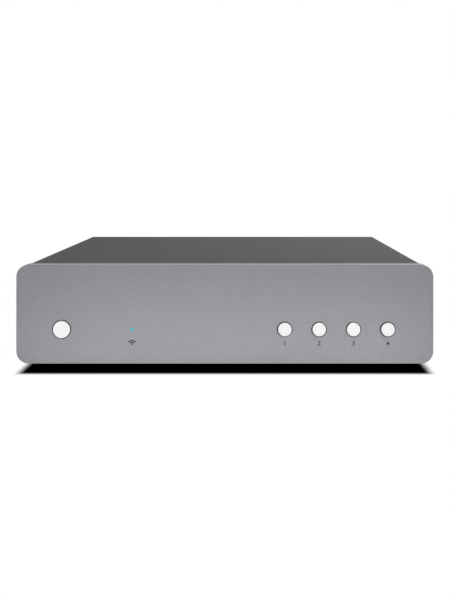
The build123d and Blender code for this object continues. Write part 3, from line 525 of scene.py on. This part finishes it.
# %% Finish of the boards
def lacquered_board():
    """Green solder mask over copper tracks."""
    finish = Finish("lacquered_board", Roughness=0.3)
    mapped = finish.place.node("ShaderNodeMapping", {},
                               {"Vector": finish.place, "Scale": (400, 400, 400)})
    tracks = mapped.node("ShaderNodeTexBrick", {"offset": 0.35, "squash": 1.6},
                         {"Vector": mapped, "Scale": 1.0, "Mortar Size": 0.08, "Brick Width": 2.2},
                         output=1)
    weave = finish.grain(0.5 * MM)
    finish.tint(0.7 * tracks + 0.3 * weave, (0.008, 0.060, 0.028), (0.03, 0.15, 0.07))
    finish.bump(0.7 * tracks + 0.3 * weave, 0.02 * MM)
    return finish.material


dress(lacquered_board(), "key_board", "main_board", "psu_board", "network_module")
print("boards are lacquered")

# %% [markdown]
# The last inner pieces are the film under the supply, the capacitors' shrunk sleeves, the
# sintered ferrite, the winding's tape and the black finned heat sink. They hide in the case,
# but show when it is opened, so each has its own colours and grain.


# %% Finishes inside the case
def inner(name, dark, light, rough, size, stretch, metal=0.0):
    """An inner piece's finish: two colours, a roughness and one grain that may be stretched."""
    finish = Finish(name, Metallic=metal)
    grain = finish.grain(size, stretch=stretch)
    finish.tint(grain, dark, light)
    finish.link("Roughness", rough + 0.2 * grain)
    finish.bump(grain, 0.008 * MM)
    return finish.material


EVEN = (1, 1, 1)
UPRIGHT = (1, 1, 12)
dress(inner("polyester_film", (0.48, 0.45, 0.34), (0.60, 0.57, 0.45), 0.2, 3 * MM, EVEN),
      "insulation_sheet")
dress(inner("shrunk_sleeve", (0.015, 0.015, 0.025), (0.04, 0.04, 0.055), 0.2, 0.6 * MM, UPRIGHT),
      "capacitors")
dress(inner("sintered_ferrite", (0.035, 0.035, 0.035), (0.07, 0.07, 0.07), 0.5, 0.4 * MM, EVEN),
      "transformer_core", "mains_choke")
dress(inner("winding_tape", (0.50, 0.29, 0.02), (0.68, 0.44, 0.06), 0.25, 0.8 * MM, (12, 12, 1)),
      "transformer_winding")
dress(inner("black_extrusion", (0.014, 0.014, 0.016), (0.032, 0.032, 0.034), 0.35, 0.4 * MM,
            UPRIGHT, metal=0.6), "heatsink")
print("inner pieces have their finishes")

# %% [markdown]
# The numbers under the presets and the wireless mark are screen printed. Ink stands a hair
# above the plate, so each print is a real thin solid on the panel's face. Blender's own font
# gives the digits, a little emboldened: the text is turned into a mesh, stood upright and moved
# to its place.

# %% Print the four numbers
INK_THICK = 0.02 * MM
DIGIT_TALL = 2.2 * MM
DIGIT_BOLD = 0.018
DIGIT_RISE = 9.32 * MM


def ink():
    """Dark grey screen ink, a little thin in places."""
    finish = Finish("screen_ink", Specular_IOR_Level=0.1)
    cover = finish.grain(0.3 * MM)
    finish.tint(cover, (0.005, 0.005, 0.006), (0.014, 0.014, 0.015))
    finish.link("Roughness", 0.5 + 0.2 * cover)
    return finish.material


def add_print(name, mesh):
    """Adds a printed mark that moves with the housing."""
    mesh.materials.clear()
    mesh.materials.append(screen_ink)
    piece = bpy.data.objects.new(name, mesh)
    bpy.context.scene.collection.objects.link(piece)
    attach(piece, "housing")
    return piece


def digit_mesh(number):
    """A flat digit, its lower left at zero, one unit tall and as thick as the ink."""
    text = bpy.data.curves.new(f"digit_{number}_text", "FONT")
    text.body = str(number)
    text.extrude = 0.5
    text.offset = DIGIT_BOLD
    holder = bpy.data.objects.new("text_holder", text)
    bpy.context.scene.collection.objects.link(holder)
    bpy.context.view_layer.update()
    shaped = holder.evaluated_get(bpy.context.evaluated_depsgraph_get())
    mesh = bpy.data.meshes.new_from_object(shaped)
    bpy.data.objects.remove(holder)
    return mesh


screen_ink = ink()
for number, preset in enumerate(preset_names, start=1):
    mesh = digit_mesh(number)
    xs = [vertex.co.x for vertex in mesh.vertices]
    ys = [vertex.co.y for vertex in mesh.vertices]
    size = DIGIT_TALL / (max(ys) - min(ys))
    mesh.transform(Matrix.Translation((-(max(xs) + min(xs)) / 2, -min(ys), 0)))
    mesh.transform(Matrix.Diagonal((size, size, INK_THICK, 1)))
    mesh.transform(Matrix.Rotation(math.pi / 2, 4, "X"))
    place = Vector((middle(preset).x, panel_face - INK_THICK / 2, panel_low.z + DIGIT_RISE))
    mesh.transform(Matrix.Translation(place))
    mesh.name = f"digit_{number}"
    add_print(f"digit_{number}", mesh)
    print("digit", number, "scaled by", round(size, 5))

# %% [markdown]
# The wireless mark is a dot under two arcs, all on the rays of one fan. Each arc starts as one
# short edge and is spun about the fan's lowest point into a flat band, and the dot stands a
# little above that point. The bands and the dot are then given the ink's thickness by
# extruding their faces towards the front. The extrusion leaves its corners in an order that
# changes from run to run, so they are sorted from left to right.

# %% Print the wireless mark
MARK_RISE = 9.35 * MM
DOT_RISE = 0.54 * MM
DOT_RADIUS = 0.4 * MM
ARC_RADII = (1.55 * MM, 2.52 * MM)
ARC_WIDE = 0.58 * MM
ARC_HALF = math.radians(46)
SORT_ALONG = Vector((1, 0.1, 0.01))
mark = bmesh.new()
mark_centre = Vector((pipe_x, panel_face, panel_low.z + MARK_RISE))
dot_place = Matrix.Translation(mark_centre + Vector((0, 0, DOT_RISE)))
bmesh.ops.create_circle(mark, cap_ends=True, segments=24, radius=DOT_RADIUS,
                        matrix=dot_place @ Matrix.Rotation(math.pi / 2, 4, "X"))
for radius in ARC_RADII:
    first = Matrix.Rotation(-ARC_HALF, 3, "Y")
    ends = [mark.verts.new(mark_centre + first @ Vector((0, 0, radius + step * ARC_WIDE / 2)))
            for step in (-1, 1)]
    edge = mark.edges.new(ends)
    bmesh.ops.spin(mark, geom=[*ends, edge], cent=mark_centre, axis=(0, 1, 0),
                   angle=2 * ARC_HALF, steps=20, use_duplicate=False)
flat_faces = list(mark.faces)
raised = bmesh.ops.extrude_face_region(mark, geom=flat_faces, use_keep_orig=True)
front = [item for item in raised["geom"] if isinstance(item, bmesh.types.BMVert)]
bmesh.ops.translate(mark, verts=front, vec=(0, -INK_THICK, 0))
bmesh.ops.recalc_face_normals(mark, faces=mark.faces)
mark.verts.sort(key=lambda vertex: vertex.co.dot(SORT_ALONG))
mark.edges.sort(key=lambda edge: (edge.verts[0].co + edge.verts[1].co).dot(SORT_ALONG))
mark.faces.sort(key=lambda face: face.calc_center_median().dot(SORT_ALONG))
mark_mesh = bpy.data.meshes.new("wireless_mark")
mark.to_mesh(mark_mesh)
mark.free()
add_print("wireless_mark", mark_mesh)
print("wireless mark", len(mark_mesh.polygons), "faces")

# %% [markdown]
# The floor is a plain pale sweep. In the photograph it is pure white up to the dark slot of
# shadow under the panel. So the floor glows at exactly white where it is seen, and is an
# ordinary pale sheet for the light that it passes on.
#
# Its shadow has two parts, and each dims the glow. An Ambient Occlusion node darkens it
# wherever the case stands close over it. The photograph's shadow also keeps square corners
# that reach a little in front of the panel, and the plate's rounded corners can't cast those.
# A strip under the case, with edges 6 mm soft, adds them as a painted shadow.


# %% Lay the floor
FLOOR_SIZE = 6.0
FLOOR_REACH = 0.03
FLOOR_PALE = 0.85
FLOOR_HALF_LIT = 0.47
FLOOR_SOFT = 0.1
STRIP_HALF = panel_wide / 2 - 1.4 * MM
STRIP_AHEAD = 3.65 * MM
STRIP_BLUR = 6.0 * MM


def seen_directly(tree):
    """1 for rays that show a thing to the camera, straight, mirrored or through glass."""
    path = tree.nodes.new("ShaderNodeLightPath")
    camera_ray, glossy_ray, clear_ray = [
        Signal(tree, path.outputs[name])
        for name in ("Is Camera Ray", "Is Glossy Ray", "Is Transmission Ray")]
    return camera_ray + glossy_ray + clear_ray


def soft_step(signal, centre, width):
    """Rises smoothly from 0 to 1 over the width, or falls from 1 to 0 where it is negative."""
    return signal.node("ShaderNodeMapRange", {"interpolation_type": "SMOOTHSTEP"},
                       {"Value": signal, "From Min": centre - width / 2,
                        "From Max": centre + width / 2})


def studio_floor():
    """White where it is seen, pale where it only passes light on, dark close under the case."""
    material = bpy.data.materials.new("studio_floor")
    material.use_nodes = True
    tree = material.node_tree
    tree.nodes.clear()
    seen = seen_directly(tree)
    near = seen.node("ShaderNodeAmbientOcclusion", {"samples": 16},
                     {"Distance": FLOOR_REACH}, output=1)
    coordinates = tree.nodes.new("ShaderNodeTexCoord")
    place = Signal(tree, coordinates.outputs["Object"])
    across, deep = [place.node("ShaderNodeSeparateXYZ", {}, {"Vector": place}, output=index)
                    for index in (0, 1)]
    aside = across.node("ShaderNodeMath", {"operation": "ABSOLUTE"}, {0: across})
    # A painted shadow: a soft-edged dark strip under the case.
    strip = (soft_step(aside, STRIP_HALF, -STRIP_BLUR)
             * soft_step(deep, panel_face - STRIP_AHEAD, STRIP_BLUR)
             * soft_step(deep, rear_face, -STRIP_BLUR))
    lit = soft_step(near, FLOOR_HALF_LIT, FLOOR_SOFT) * (1 - strip)
    white = seen.node("ShaderNodeEmission", {}, {"Color": lit, "Strength": 1.0})
    pale = seen.node("ShaderNodeBsdfDiffuse", {},
                     {"Color": (FLOOR_PALE, FLOOR_PALE, FLOOR_PALE, 1.0)})
    mixed = seen.node("ShaderNodeMixShader", {}, {0: seen, 1: pale, 2: white})
    output = tree.nodes.new("ShaderNodeOutputMaterial")
    tree.links.new(mixed.socket, output.inputs["Surface"])
    return material


plane = bmesh.new()
bmesh.ops.create_grid(plane, x_segments=1, y_segments=1, size=FLOOR_SIZE)
floor_mesh = bpy.data.meshes.new("floor")
plane.to_mesh(floor_mesh)
plane.free()
floor_mesh.materials.append(studio_floor())
floor = bpy.data.objects.new("floor", floor_mesh)
bpy.context.scene.collection.objects.link(floor)
print("floor", 2 * FLOOR_SIZE, "m wide")

# %% [markdown]
# The light is a white room, five softboxes and one narrow lamp. The room is white for the
# camera and in reflections, and weaker as a light. The key hangs in front and to the left,
# the side and top boxes shape the dark cover, and the one at the back lights the sockets.
# The low one on the right and the key meet on the panel.
#
# The panel is brightest at the middle of its lower edge, as if a white table lit it from
# below. The narrow lamp makes that light: it draws a pool on the floor just before the panel.

# %% Light the scene
ROOM_LIGHT = 0.35
world = bpy.data.worlds.new("studio")
world.use_nodes = True
bpy.context.scene.world = world
background = world.node_tree.nodes["Background"]
strength = ROOM_LIGHT + seen_directly(world.node_tree) * (1 - ROOM_LIGHT)
world.node_tree.links.new(strength.socket, background.inputs["Strength"])
background.inputs["Color"].default_value = (1, 1, 1, 1)

TARGET = Vector((0, 0, 0.03))


def softbox(name, place, size, watts, deep=None, target=TARGET, spread=180):
    """A flat soft light that faces a target, the object unless another is given."""
    data = bpy.data.lights.new(name, "AREA")
    data.shape = "RECTANGLE"
    data.size = size
    data.size_y = deep or size
    data.energy = watts
    data.spread = math.radians(spread)
    lamp = bpy.data.objects.new(name, data)
    lamp.location = place
    lamp.rotation_euler = (Vector(place) - target).to_track_quat("Z", "Y").to_euler()
    bpy.context.scene.collection.objects.link(lamp)
    return lamp


softbox("key", (-0.55, -1.05, 0.75), 0.7, 0.8)
softbox("side", (0.45, 0.1, 0.5), 0.35, 3.2)
softbox("back", (0.9, 1.2, 0.7), 0.7, 4.0)
softbox("top", (0.4, 0.35, 1.6), 2.2, 2.0)
softbox("right", (0.7, -0.42, 0.12), 0.3, 0.4)
softbox("pool", (-0.001, -0.2, 0.3), 0.22, 0.177, deep=0.04,
        target=Vector((-0.001, -0.14, 0)), spread=14)
bpy.context.scene.view_settings.view_transform = "Standard"
print("room", ROOM_LIGHT, "and", len(bpy.data.lights), "lamps")
